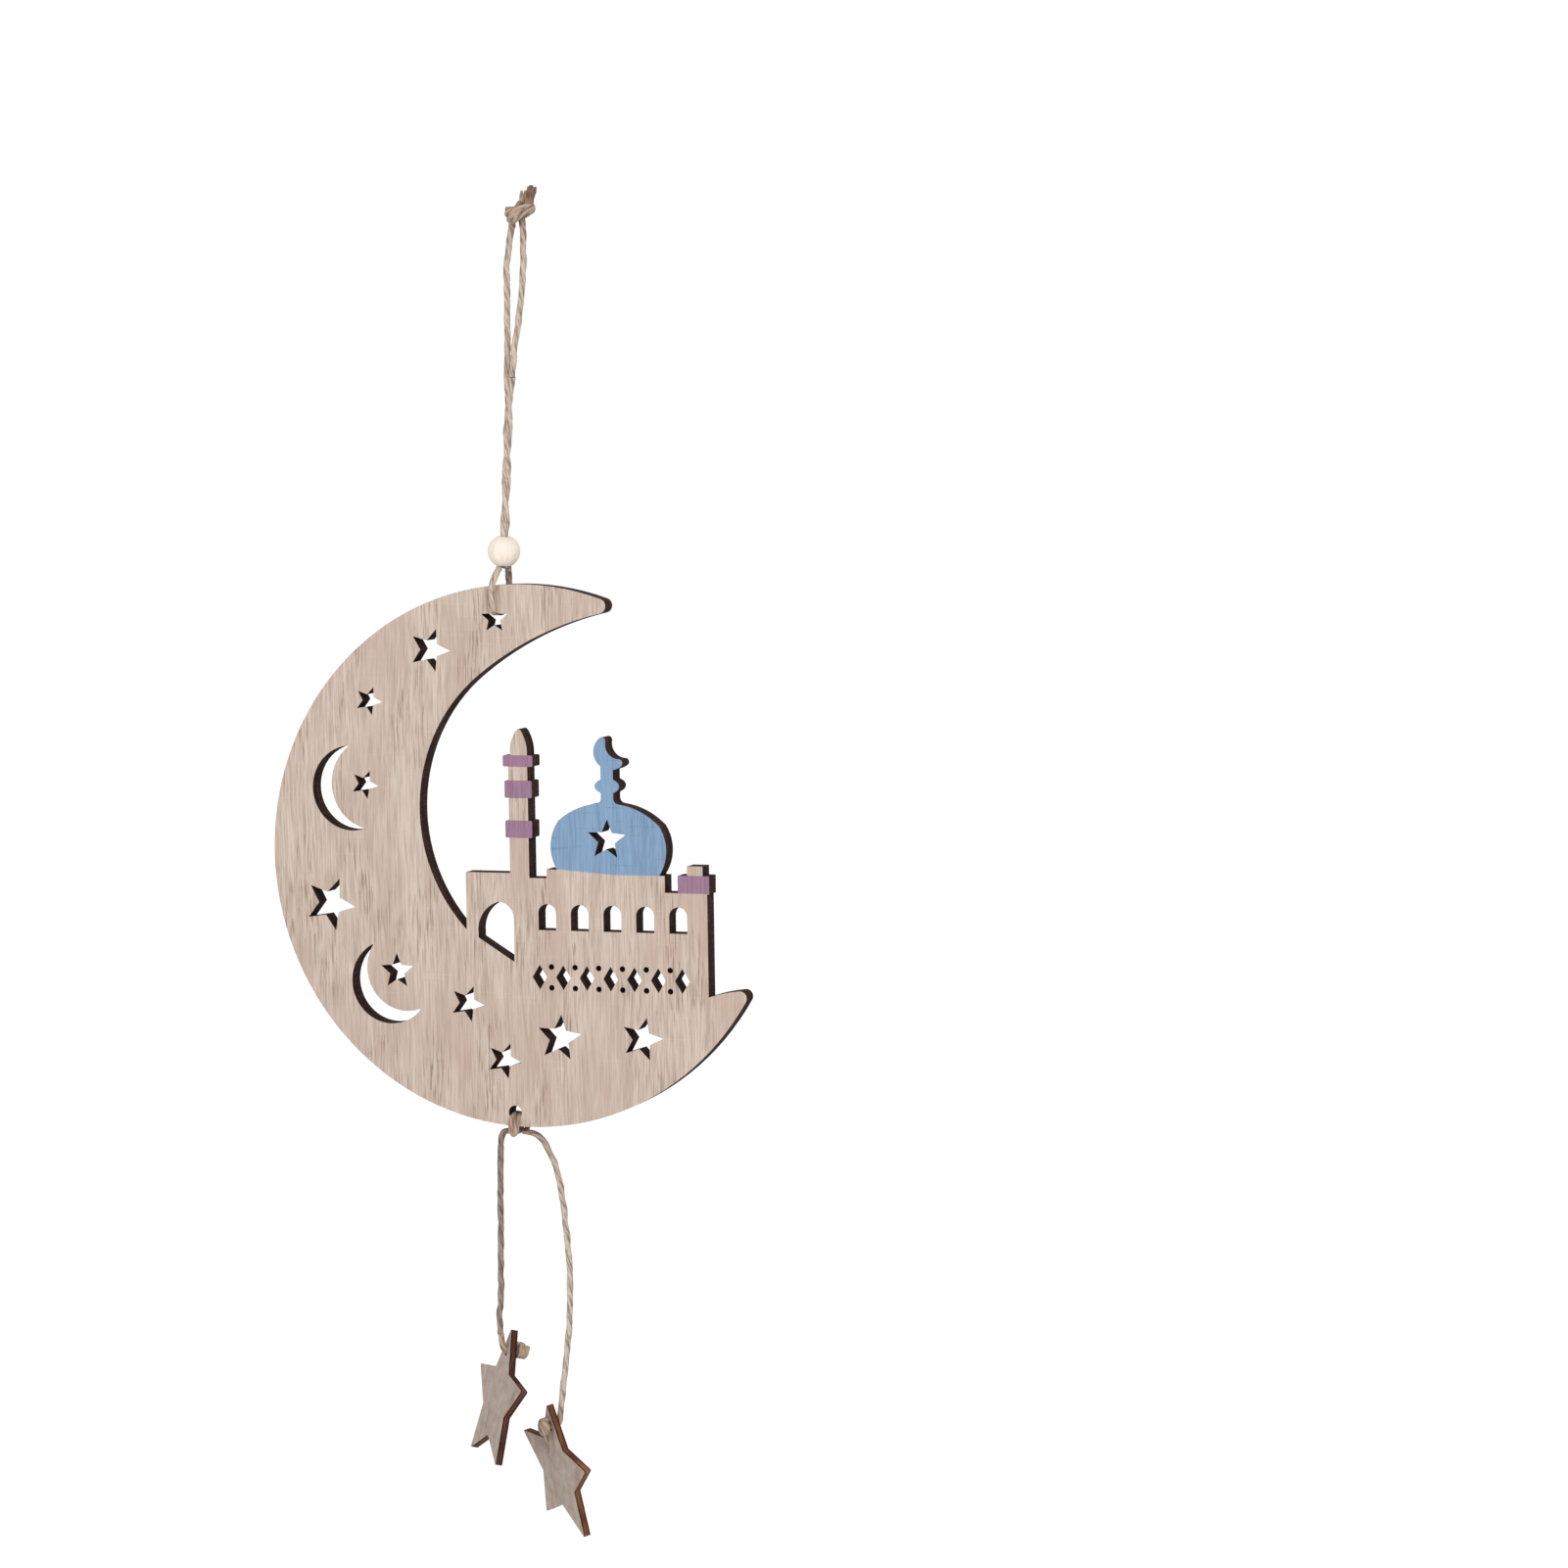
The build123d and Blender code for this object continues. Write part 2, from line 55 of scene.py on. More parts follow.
def placeCamera():
    angles = (view["azimuth"], view["elevation"], view["roll"])
    azimuth, elevation, roll = (math.radians(angle) for angle in angles)
    back = Vector((math.sin(azimuth) * math.cos(elevation),
                   -math.cos(azimuth) * math.cos(elevation), math.sin(elevation)))
    side = Vector((math.cos(azimuth), math.sin(azimuth), 0))
    top = back.cross(side)
    right = side * math.cos(roll) + top * math.sin(roll)
    up = top * math.cos(roll) - side * math.sin(roll)
    data = bpy.data.cameras.new("camera")
    data.lens = view["lens"]
    data.sensor_width = view["sensor"]
    data.sensor_fit = "HORIZONTAL"
    data.clip_start = view["nearest"]
    camera = addObject("camera", data)
    place = Vector(view["place"]) * mm
    camera.matrix_world = Matrix((
        (right.x, up.x, back.x, place.x),
        (right.y, up.y, back.y, place.y),
        (right.z, up.z, back.z, place.z),
        (0, 0, 0, 1)))
    bpy.context.scene.camera = camera


placeCamera()
print("camera placed")


# colours are written as on a screen, 0 to 255, and made linear by the screen's own curve

def tone(red, green, blue):
    part = np.array([red, green, blue]) / 255
    linear = np.where(part <= 0.04045, part / 12.92, ((part + 0.055) / 1.055) ** 2.4)
    return (*[float(value) for value in linear], 1.0)


def addNode(tree, kind, **settings):
    node = tree.nodes.new(kind)
    for key, value in settings.items():
        setattr(node, key, value)
    return node


def put(tree, socket, value):
    if isinstance(value, bpy.types.NodeSocket):
        tree.links.new(value, socket)
    else:
        socket.default_value = value


def calc(tree, operation, *values):
    node = addNode(tree, "ShaderNodeMath", operation=operation)
    for index, value in enumerate(values):
        put(tree, node.inputs[index], value)
    return node.outputs[0]


def splitAxes(tree, vector):
    node = addNode(tree, "ShaderNodeSeparateXYZ")
    put(tree, node.inputs[0], vector)
    return node.outputs


# a Mix node has its values at sockets 2 and 3 and its colours at 6 and 7

def blendValue(tree, share, first, second):
    node = addNode(tree, "ShaderNodeMix", data_type="FLOAT")
    for index, value in ((0, share), (2, first), (3, second)):
        put(tree, node.inputs[index], value)
    return node.outputs[0]


def blendColour(tree, share, first, second, mode="MIX"):
    node = addNode(tree, "ShaderNodeMix", data_type="RGBA", blend_type=mode)
    for index, value in ((0, share), (6, first), (7, second)):
        put(tree, node.inputs[index], value)
    return node.outputs[2]


# a colour laid over another where the mask is, at the given strength
def layOver(tree, mask, strength, under, over):
    return blendColour(tree, calc(tree, "MULTIPLY", mask, strength), under, over)


# noise with its own number of cells to the unit along each axis
def noise(tree, vector, cells, detail=3.0, rough=0.55):
    scaled = addNode(tree, "ShaderNodeVectorMath", operation="MULTIPLY")
    put(tree, scaled.inputs[0], vector)
    put(tree, scaled.inputs[1], cells)
    node = addNode(tree, "ShaderNodeTexNoise")
    put(tree, node.inputs["Vector"], scaled.outputs[0])
    node.inputs["Scale"].default_value = 1.0
    node.inputs["Detail"].default_value = detail
    node.inputs["Roughness"].default_value = rough
    return node.outputs["Fac"]


# 0 below the low end, 1 above the high end, an easy slope between
def spread(tree, value, low, high):
    node = addNode(tree, "ShaderNodeMapRange", interpolation_type="SMOOTHSTEP")
    put(tree, node.inputs["Value"], value)
    put(tree, node.inputs["From Min"], low)
    put(tree, node.inputs["From Max"], high)
    return node.outputs["Result"]


# an effect that materials share: one Vector goes in, named values come out
def newGroup(name, labels):
    group = bpy.data.node_groups.new(name, "ShaderNodeTree")
    group.interface.new_socket("Vector", in_out="INPUT", socket_type="NodeSocketVector")
    for label in labels:
        group.interface.new_socket(label, in_out="OUTPUT", socket_type="NodeSocketFloat")
    source = group.nodes.new("NodeGroupInput")
    sink = group.nodes.new("NodeGroupOutput")
    return group, source.outputs[0], sink.inputs


def useGroup(tree, group, vector):
    node = addNode(tree, "ShaderNodeGroup", node_tree=group)
    put(tree, node.inputs[0], vector)
    return node.outputs


def newMaterial(name):
    material = bpy.data.materials.new(name)
    material.use_nodes = True
    tree = material.node_tree
    return material, tree, tree.nodes["Principled BSDF"]


def addBump(tree, shader, height, strength, distance):
    node = addNode(tree, "ShaderNodeBump")
    node.inputs["Strength"].default_value = strength
    node.inputs["Distance"].default_value = distance
    put(tree, node.inputs["Height"], height)
    put(tree, shader.inputs["Normal"], node.outputs[0])


# wood grain upright along Z: broad patches, thin streaks, short dark pores in clusters and pale
# cross rays; cells are counted to the metre along X, Y and Z

grainLook = {
    "wander": (40, 40, 22), "wanderShift": (0.003, 0, 0),
    "patches": (85, 40, 26), "patchRange": (0.4, 0.68),
    "wide": (520, 300, 24), "wideShare": 0.24,
    "thin": (2700, 700, 110), "thinShare": 0.76, "streakRange": (0.34, 0.64),
    "pores": (2500, 700, 150), "poreRange": (0.52, 0.68), "poreDepth": 0.6,
    "clusters": (120, 60, 30), "clusterRange": (0.38, 0.66),
    "rays": (60, 40, 1500), "rayRange": (0.6, 0.8),
}


def makeGrainGroup():
    look = grainLook
    labels = ("Patches", "Streaks", "Pores", "Rays", "Height")
    group, vector, sink = newGroup("upright grain", labels)
    wander = noise(group, vector, look["wander"], detail=1.0)
    shifted = addNode(group, "ShaderNodeVectorMath", operation="MULTIPLY_ADD")
    put(group, shifted.inputs[0], calc(group, "SUBTRACT", wander, 0.5))
    put(group, shifted.inputs[1], look["wanderShift"])
    put(group, shifted.inputs[2], vector)
    grain = shifted.outputs[0]
    patches = noise(group, grain, look["patches"])
    wide = noise(group, grain, look["wide"], detail=2.0)
    thin = noise(group, grain, look["thin"], rough=0.6)
    pores = noise(group, grain, look["pores"], detail=2.0, rough=0.5)
    clusters = noise(group, grain, look["clusters"], detail=2.0)
    rays = noise(group, grain, look["rays"], detail=2.0)
    streaks = calc(group, "MULTIPLY_ADD", wide, look["wideShare"],
                   calc(group, "MULTIPLY", thin, look["thinShare"]))
    dark = calc(group, "MULTIPLY", spread(group, pores, *look["poreRange"]),
                spread(group, clusters, *look["clusterRange"]))
    sunk = calc(group, "MULTIPLY", dark, look["poreDepth"])
    put(group, sink["Patches"], spread(group, patches, *look["patchRange"]))
    put(group, sink["Streaks"], spread(group, streaks, *look["streakRange"]))
    put(group, sink["Pores"], dark)
    put(group, sink["Rays"], spread(group, rays, *look["rayRange"]))
    put(group, sink["Height"], calc(group, "SUBTRACT", thin, sunk))
    return group


# scorched cut edge: soot in patches along the cut and fine lines across the thickness

scorchLook = {"patches": (130, 420, 130), "patchRange": (0.3, 0.72),
              "lines": (1700, 160, 1700), "lineRange": (0.3, 0.75)}


def makeScorchGroup():
    look = scorchLook
    group, vector, sink = newGroup("scorched cut", ("Soot", "Lines"))
    patches = noise(group, vector, look["patches"])
    lines = noise(group, vector, look["lines"], detail=2.0, rough=0.6)
    put(group, sink["Soot"], spread(group, patches, *look["patchRange"]))
    put(group, sink["Lines"], spread(group, lines, *look["lineRange"]))
    return group


grainGroup = makeGrainGroup()
scorchGroup = makeScorchGroup()
cutRelief = {"strength": 0.35, "distance": 0.0001}


# grain stands up on the faces of a cut sheet and burnt lines on its edges
def addCutRelief(tree, shader, onFace, scorch, grain):
    height = blendValue(tree, onFace, scorch["Lines"], grain["Height"])
    addBump(tree, shader, height, **cutRelief)


# crescent board: pale wood on both faces, charred edges, paint on the front only; places of the
# paint are in millimetres from the crescent's centre

board = {
    "centre": (-0.6, -160.0), "faceLimit": 0.5,
    "woodLight": tone(214, 198, 184), "woodDark": tone(184, 165, 151),
    "woodPink": tone(187, 162, 149), "pinkShare": 0.55,
    "pore": tone(136, 110, 98), "poreShare": 0.75,
    "ray": tone(226, 213, 200), "rayShare": 0.25,
    "blue": tone(132, 160, 190), "mauve": tone(156, 122, 145),
    "paintBase": 0.82, "paintStreaks": 0.26,
    "wornShare": 0.5, "wornRays": 0.5, "wornPores": 0.4,
    "charDark": tone(34, 20, 17), "charLight": tone(92, 64, 53),
    "charBase": 0.15, "charLines": 0.6,
    "rough": 0.86, "paintSmoother": 0.14, "shine": 0.1,
    "minaretX": -0.87, "balconyHalf": 4.4,
    "balconies": ((23.2, 26.2), (15.15, 19.7), (4.9, 9.4)),
    "towerBand": (42.1, 52.0, -8.4, -3.85),
    "domeSide": (5.2, 41.0), "domeFoot": (9.3, -2.95), "domeFall": 0.0732,
    "domeLow": -4.1, "domeTop": 36.0,
}


def between(tree, value, low, high):
    above = calc(tree, "GREATER_THAN", value, low)
    return calc(tree, "MULTIPLY", above, calc(tree, "LESS_THAN", value, high))


# dome paint ends below in a line that falls to the right and then runs level
def domeMask(tree, across, height):
    footX, footZ = board["domeFoot"]
    fall = calc(tree, "MULTIPLY", calc(tree, "SUBTRACT", across, footX), board["domeFall"])
    foot = calc(tree, "MAXIMUM", board["domeLow"], calc(tree, "SUBTRACT", footZ, fall))
    return calc(tree, "MULTIPLY", between(tree, across, *board["domeSide"]),
                between(tree, height, foot, board["domeTop"]))


# mauve on the side tower's cap and on the minaret's three balconies
def bandMask(tree, across, height):
    left, right, low, high = board["towerBand"]
    bands = calc(tree, "MULTIPLY", between(tree, across, left, right),
                 between(tree, height, low, high))
    fromShaft = calc(tree, "ABSOLUTE", calc(tree, "SUBTRACT", across, board["minaretX"]))
    onShaft = calc(tree, "LESS_THAN", fromShaft, board["balconyHalf"])
    for low, high in board["balconies"]:
        band = calc(tree, "MULTIPLY", onShaft, between(tree, height, low, high))
        bands = calc(tree, "MAXIMUM", bands, band)
    return bands


def boardMaterial():
    material, tree, shader = newMaterial("painted crescent board")
    coords = addNode(tree, "ShaderNodeTexCoord")
    place = coords.outputs["Object"]
    axes = splitAxes(tree, place)
    facing = splitAxes(tree, coords.outputs["Normal"])
    middleX, middleZ = board["centre"]
    across = calc(tree, "SUBTRACT", calc(tree, "DIVIDE", axes["X"], mm), middleX)
    height = calc(tree, "SUBTRACT", calc(tree, "DIVIDE", axes["Z"], mm), middleZ)
    limit = board["faceLimit"]
    onFace = calc(tree, "GREATER_THAN", calc(tree, "ABSOLUTE", facing["Y"]), limit)
    onFront = calc(tree, "LESS_THAN", facing["Y"], -limit)

    grain = useGroup(tree, grainGroup, place)
    wood = blendColour(tree, grain["Streaks"], board["woodDark"], board["woodLight"])
    wood = layOver(tree, grain["Patches"], board["pinkShare"], wood, board["woodPink"])
    wood = layOver(tree, grain["Pores"], board["poreShare"], wood, board["pore"])
    wood = layOver(tree, grain["Rays"], board["rayShare"], wood, board["ray"])

    dome = calc(tree, "MULTIPLY", domeMask(tree, across, height), onFront)
    bands = calc(tree, "MULTIPLY", bandMask(tree, across, height), onFront)
    showing = calc(tree, "MULTIPLY_ADD", grain["Streaks"], board["paintStreaks"],
                   board["paintBase"])
    worn = calc(tree, "MULTIPLY_ADD", grain["Rays"], board["wornRays"],
                calc(tree, "MULTIPLY", grain["Pores"], board["wornPores"]))
    showing = calc(tree, "SUBTRACT", showing, calc(tree, "MULTIPLY", worn, board["wornShare"]))
    shade = addNode(tree, "ShaderNodeCombineColor")
    for index in range(3):
        put(tree, shade.inputs[index], showing)
    face = wood
    for mask, paint in ((dome, board["blue"]), (bands, board["mauve"])):
        streaked = blendColour(tree, 1.0, paint, shade.outputs[0], "MULTIPLY")
        face = blendColour(tree, mask, face, streaked)

    scorch = useGroup(tree, scorchGroup, place)
    burnt = calc(tree, "MULTIPLY_ADD", scorch["Lines"], board["charLines"], board["charBase"])
    char = blendColour(tree, calc(tree, "MULTIPLY", scorch["Soot"], burnt),
                       board["charDark"], board["charLight"])
    put(tree, shader.inputs["Base Color"], blendColour(tree, onFace, char, face))
    painted = calc(tree, "MAXIMUM", dome, bands)
    smoother = calc(tree, "MULTIPLY", painted, board["paintSmoother"])
    put(tree, shader.inputs["Roughness"], calc(tree, "SUBTRACT", board["rough"], smoother))
    shader.inputs["Specular IOR Level"].default_value = board["shine"]
    addCutRelief(tree, shader, onFace, scorch, grain)
    return material


# pendant stars: grey-beige ply, faces set darker than the board's, partly as painted shade for
# faces turned from the light; reddish cut edges that are darker along both rims

star = {
    "left": {"node": "pendant_star_left", "place": (-11.6, -1.2, -302.3),
             "turn": (-50.2, -14.4, 0.0),
             "core": tone(108, 69, 54), "coreDark": tone(66, 40, 33)},
    "right": {"node": "pendant_star_right", "place": (4.75, 0.0, -320.6),
              "turn": (-42.8, 11.1, 6.3),
              "core": tone(150, 97, 66), "coreDark": tone(96, 56, 41)},
    "thickness": 1.8, "holeReach": 12.7, "faceLimit": 0.6,
    # painted shade: the face tones sit below the board's wood, partly for faces turned from the
    # light
    "faceLight": tone(193, 178, 167), "faceDark": tone(170, 153, 142),
    "mottle": (420, 300, 300), "mottleRange": (0.3, 0.7),
    "pore": tone(139, 118, 106), "poreShare": 0.5,
    "scorch": tone(150, 121, 101), "blots": (130, 100, 95), "blotRange": (0.56, 0.76),
    "blotShare": 0.45,
    "rim": tone(34, 21, 19), "rimRange": (0.16, 0.4), "rimWander": -0.12,
    "rough": 0.85, "shine": 0.1,
}


def turnMatrix(turn):
    yaw, lean, roll = (math.radians(angle) for angle in turn)
    return (Matrix.Rotation(yaw, 3, "Z") @ Matrix.Rotation(lean, 3, "X")
            @ Matrix.Rotation(roll, 3, "Y"))


def starMaterial(side):
    spec = star[side]
    material, tree, shader = newMaterial(f"{side} star ply")
    coords = addNode(tree, "ShaderNodeTexCoord")
    inverse = turnMatrix(spec["turn"]).transposed()
    angles = inverse.to_euler()
    local = addNode(tree, "ShaderNodeMapping")
    local.inputs["Location"].default_value = -(inverse @ (Vector(spec["place"]) * mm))
    local.inputs["Rotation"].default_value = angles
    put(tree, local.inputs["Vector"], coords.outputs["Object"])
    turned = addNode(tree, "ShaderNodeMapping", vector_type="NORMAL")
    turned.inputs["Rotation"].default_value = angles
    put(tree, turned.inputs["Vector"], coords.outputs["Normal"])
    place = local.outputs[0]
    facing = splitAxes(tree, turned.outputs[0])
    axes = splitAxes(tree, place)
    onFace = calc(tree, "GREATER_THAN", calc(tree, "ABSOLUTE", facing["Y"]), star["faceLimit"])
    depth = calc(tree, "DIVIDE", axes["Y"], star["thickness"] * mm)
    fromMiddle = calc(tree, "ABSOLUTE", calc(tree, "SUBTRACT", depth, 0.5))

    grain = useGroup(tree, grainGroup, place)
    mottle = noise(tree, place, star["mottle"], detail=4.0, rough=0.65)
    blots = noise(tree, place, star["blots"], detail=2.0)
    face = blendColour(tree, spread(tree, mottle, *star["mottleRange"]),
                       star["faceDark"], star["faceLight"])
    face = layOver(tree, grain["Pores"], star["poreShare"], face, star["pore"])
    face = layOver(tree, spread(tree, blots, *star["blotRange"]), star["blotShare"],
                   face, star["scorch"])

    scorch = useGroup(tree, scorchGroup, place)
    cut = blendColour(tree, scorch["Soot"], spec["coreDark"], spec["core"])
    uneven = calc(tree, "MULTIPLY_ADD", scorch["Lines"], star["rimWander"], fromMiddle)
    cut = blendColour(tree, spread(tree, uneven, *star["rimRange"]), cut, star["rim"])
    put(tree, shader.inputs["Base Color"], blendColour(tree, onFace, cut, face))
    shader.inputs["Roughness"].default_value = star["rough"]
    shader.inputs["Specular IOR Level"].default_value = star["shine"]
    addCutRelief(tree, shader, onFace, scorch, grain)
    return material


def dress(node, material):
    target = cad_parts[node]
    target.data.materials.clear()
    target.data.materials.append(material)


dress("crescent_plate", boardMaterial())
for side in ("left", "right"):
    dress(star[side]["node"], starMaterial(side))
print("board and stars dressed")


# jute: fibre streaks run along the lay, with painted shade in the hollows between the plies and
# where a cord's shade is given; cells are counted round the twine and along it in the UV map

juteLook = {
    "fibres": (24, 1.6, 1), "fibreRange": (0.32, 0.68),
    "strands": (8, 0.7, 1), "strandRange": (0.48, 0.66), "strandShare": 0.75,
    "patches": (1.5, 0.5, 1), "patchRange": (0.52, 0.78), "patchShare": 0.4,
    "paintedShadeShare": 0.8, "rough": 0.95, "shine": 0.1,
    "bump": {"strength": 0.5, "distance": 0.00012},
}


def juteMaterial(name, pale, mid, dark):
    look = juteLook
    material, tree, shader = newMaterial(name)
    lay = addNode(tree, "ShaderNodeUVMap", uv_map="lay").outputs[0]
    hollowAndShade = addNode(tree, "ShaderNodeAttribute", attribute_name="hollowAndShade").outputs["Fac"]
    fibres = noise(tree, lay, look["fibres"], rough=0.65)
    strands = noise(tree, lay, look["strands"], detail=2.0)
    patches = noise(tree, lay, look["patches"], detail=2.0)
    colour = blendColour(tree, spread(tree, fibres, *look["fibreRange"]), mid, pale)
    colour = layOver(tree, spread(tree, strands, *look["strandRange"]), look["strandShare"],
                     colour, dark)
    colour = layOver(tree, spread(tree, patches, *look["patchRange"]), look["patchShare"],
                     colour, dark)
    # painted shade: darker in the hollows between the plies and along each cord's given shade
    colour = layOver(tree, hollowAndShade, look["paintedShadeShare"], colour, dark)
    put(tree, shader.inputs["Base Color"], colour)
    shader.inputs["Roughness"].default_value = look["rough"]
    shader.inputs["Specular IOR Level"].default_value = look["shine"]
    addBump(tree, shader, fibres, **look["bump"])
    return material


jute = {
    "pale": juteMaterial("pale jute", tone(226, 208, 192), tone(193, 174, 158), tone(112, 92, 78)),
    "grey": juteMaterial("grey jute", tone(173, 156, 145), tone(139, 121, 111), tone(74, 59, 52)),
    "tan": juteMaterial("tan jute", tone(206, 183, 163), tone(174, 149, 130), tone(98, 74, 59)),
    "brown": juteMaterial("brown jute", tone(178, 150, 129), tone(142, 115, 97), tone(80, 55, 41)),
}


# routes are control points in millimetres; the smooth line is read back from Blender's own spline

def readRoute(points):
    curve = bpy.data.curves.new("route", "CURVE")
    curve.dimensions = "3D"
    spline = curve.splines.new("NURBS")
    spline.points.add(len(points) - 1)
    corners = np.ones((len(points), 4))
    corners[:, :3] = np.array(points, float) * mm
    spline.points.foreach_set("co", corners.ravel())
    spline.order_u = 3
    spline.use_endpoint_u = True
    spline.resolution_u = 16
    holder = bpy.data.objects.new("route", curve)
    mesh = bpy.data.meshes.new_from_object(holder)
    line = np.empty(len(mesh.vertices) * 3)
    mesh.vertices.foreach_get("co", line)
    bpy.data.objects.remove(holder)
    bpy.data.curves.remove(curve)
    bpy.data.meshes.remove(mesh)
    return line.reshape(-1, 3)


def lengthAlong(line):
    runs = np.linalg.norm(np.diff(line, axis=0), axis=1)
    return np.concatenate([[0], np.cumsum(runs)])


# the same line with its points an even step apart
def evenly(line, step):
    along = lengthAlong(line)
    marks = np.linspace(0, along[-1], max(6, int(along[-1] / step) + 1))
    return np.column_stack([np.interp(marks, along, line[:, axis]) for axis in range(3)])


def unit(vectors):
    return vectors / np.linalg.norm(vectors, axis=-1, keepdims=True)


# a side vector carried along the line without turning about it; it starts from Y, or from X where
# the line itself sets off along Y
def framesAlong(line):
    ahead = unit(np.gradient(line, axis=0))
    guess = np.array([0.0, 1.0, 0.0]) if abs(ahead[0, 1]) < 0.8 else np.array([1.0, 0.0, 0.0])
    side = np.empty_like(line)
    for index, forward in enumerate(ahead):
        guess = guess - forward * guess.dot(forward)
        guess = guess / np.linalg.norm(guess)
        side[index] = guess
    return ahead, side, np.cross(ahead, side)


# smooth random waves along the line, about the given size: a sum of sines of unlike lengths
def waves(along, size, count=5):
    turns = chance.uniform(0.4, 1.6, count) / size
    starts = chance.uniform(0, fullTurn, count)
    return np.sin(along[:, None] * turns * fullTurn + starts).sum(1) / math.sqrt(count)


# lengths of twine are in millimetres; hollows, ridges, swell and sway are shares of its radius,
# and each wave is so many radii long

twine = {
    "radius": 0.8, "lay": -14.0, "step": 0.25, "sides": 40,
    "hollowDeep": 0.16, "hollowWide": 0.3, "hollowUsual": 0.7, "hollowChange": 0.4,
    "hollowLimits": (0.15, 1.1), "hollowWave": 8, "grooveShade": 0.8,
    "ridges": ((5, 0.024), (9, 0.02), (14, 0.014)), "ridgeWander": 0.9, "ridgeWave": 9,
    "swell": 0.05, "swellWave": 7, "sway": 0.09, "swayWave": 9, "uvRuns": 4,
}


# twine: rings of r(angle) round the line; two hollows wind along it once a lay, deeper in some
# places than others, and fine ridges of fibre run beside them; thickness and line wander a little
def twineGrid(line, radius, lay, taper, shade):
    along = lengthAlong(line)
    ahead, side, other = framesAlong(line)
    angle = np.arange(twine["sides"]) / twine["sides"] * fullTurn
    winding = angle[None, :] - fullTurn * along[:, None] / lay
    fromHollow = np.abs((winding + math.pi / 2) % math.pi - math.pi / 2)
    change = twine["hollowChange"] * waves(along, twine["hollowWave"] * radius)
    depth = np.clip(twine["hollowUsual"] + change, *twine["hollowLimits"])
    hollowAndShade = np.exp(-(fromHollow / twine["hollowWide"]) ** 2) * depth[:, None]
    ridges = np.zeros_like(winding)
    for count, size in twine["ridges"]:
        start = chance.uniform(0, fullTurn)
        wander = twine["ridgeWander"] * waves(along, twine["ridgeWave"] * radius)[:, None]
        ridges = ridges + size * np.sin(count * winding + (start + wander))
    swell = 1 + twine["swell"] * waves(along, twine["swellWave"] * radius)[:, None]
    aside = waves(along, twine["swayWave"] * radius)[:, None] * side
    aside = aside + waves(along, twine["swayWave"] * radius)[:, None] * other
    sway = twine["sway"] * radius * aside
    reach = radius * swell * (1.0 - twine["hollowDeep"] * hollowAndShade + ridges) * taper[:, None]
    around = (np.cos(angle)[None, :, None] * side[:, None, :]
              + np.sin(angle)[None, :, None] * other[:, None, :])
    points = (line + sway)[:, None, :] + reach[:, :, None] * around
    # painted shade: darker in the hollows between the plies, plus the shade given along the cord
    paintedShade = np.clip(twine["grooveShade"] * hollowAndShade + shade[:, None], 0, 1)
    return {"points": points, "hollowAndShade": paintedShade, "along": along, "lay": lay}


# quads between neighbouring rings of points, each ring closed on itself
def ringQuads(rings, sides):
    ring, column = np.meshgrid(np.arange(rings - 1), np.arange(sides), indexing="ij")
    after = (column + 1) % sides
    quads = np.stack([ring * sides + column, ring * sides + after,
                      (ring + 1) * sides + after, (ring + 1) * sides + column], -1)
    return quads.reshape(-1, 4), ring, column


# a closed tube from a grid of rings: quads between rings, a fan on each end; the UV map follows
# the lay, round the twine in U and along it in V
def closeGrid(grid):
    points, lay = grid["points"], grid["lay"]
    rings, sides = points.shape[:2]
    quads, ring, column = ringQuads(rings, sides)
    first, last = rings * sides, rings * sides + 1
    index = np.arange(sides)
    after = (index + 1) % sides
    end = (rings - 1) * sides
    fans = np.concatenate([np.stack([np.full(sides, first), after, index], -1),
                           np.stack([np.full(sides, last), end + index, end + after], -1)])
    middles = points[[0, -1]].mean(1)
    verts = np.concatenate([points.reshape(-1, 3), middles])
    # painted shade: the centre of each end cap is fully shaded
    hollowAndShade = np.concatenate([grid["hollowAndShade"].ravel(), [1.0, 1.0]])
    turn = np.stack([column, column + 1, column + 1, column], -1).reshape(-1, 4) / sides
    run = grid["along"][np.stack([ring, ring, ring + 1, ring + 1], -1).reshape(-1, 4)]
    uvQuads = np.stack([turn - run / lay, run / lay * twine["uvRuns"]], -1)
    uvFans = np.zeros((len(fans), 3, 2))
    return verts, quads, fans, hollowAndShade, uvQuads, uvFans


# thick is in millimetres; rise, run and curl are shares of the reach

looseFibre = {"perMm": 1.1, "reach": 1.1, "points": 6, "sides": 3, "thick": 0.022, "thinning": 0.7,
              "root": 0.8, "rise": (0.25, 1.0), "bend": 1.5, "run": (0.6, 2.2),
              "curl": 0.35, "curlTurn": 0.9, "endRoom": 2.3, "uvSpot": 0.37}


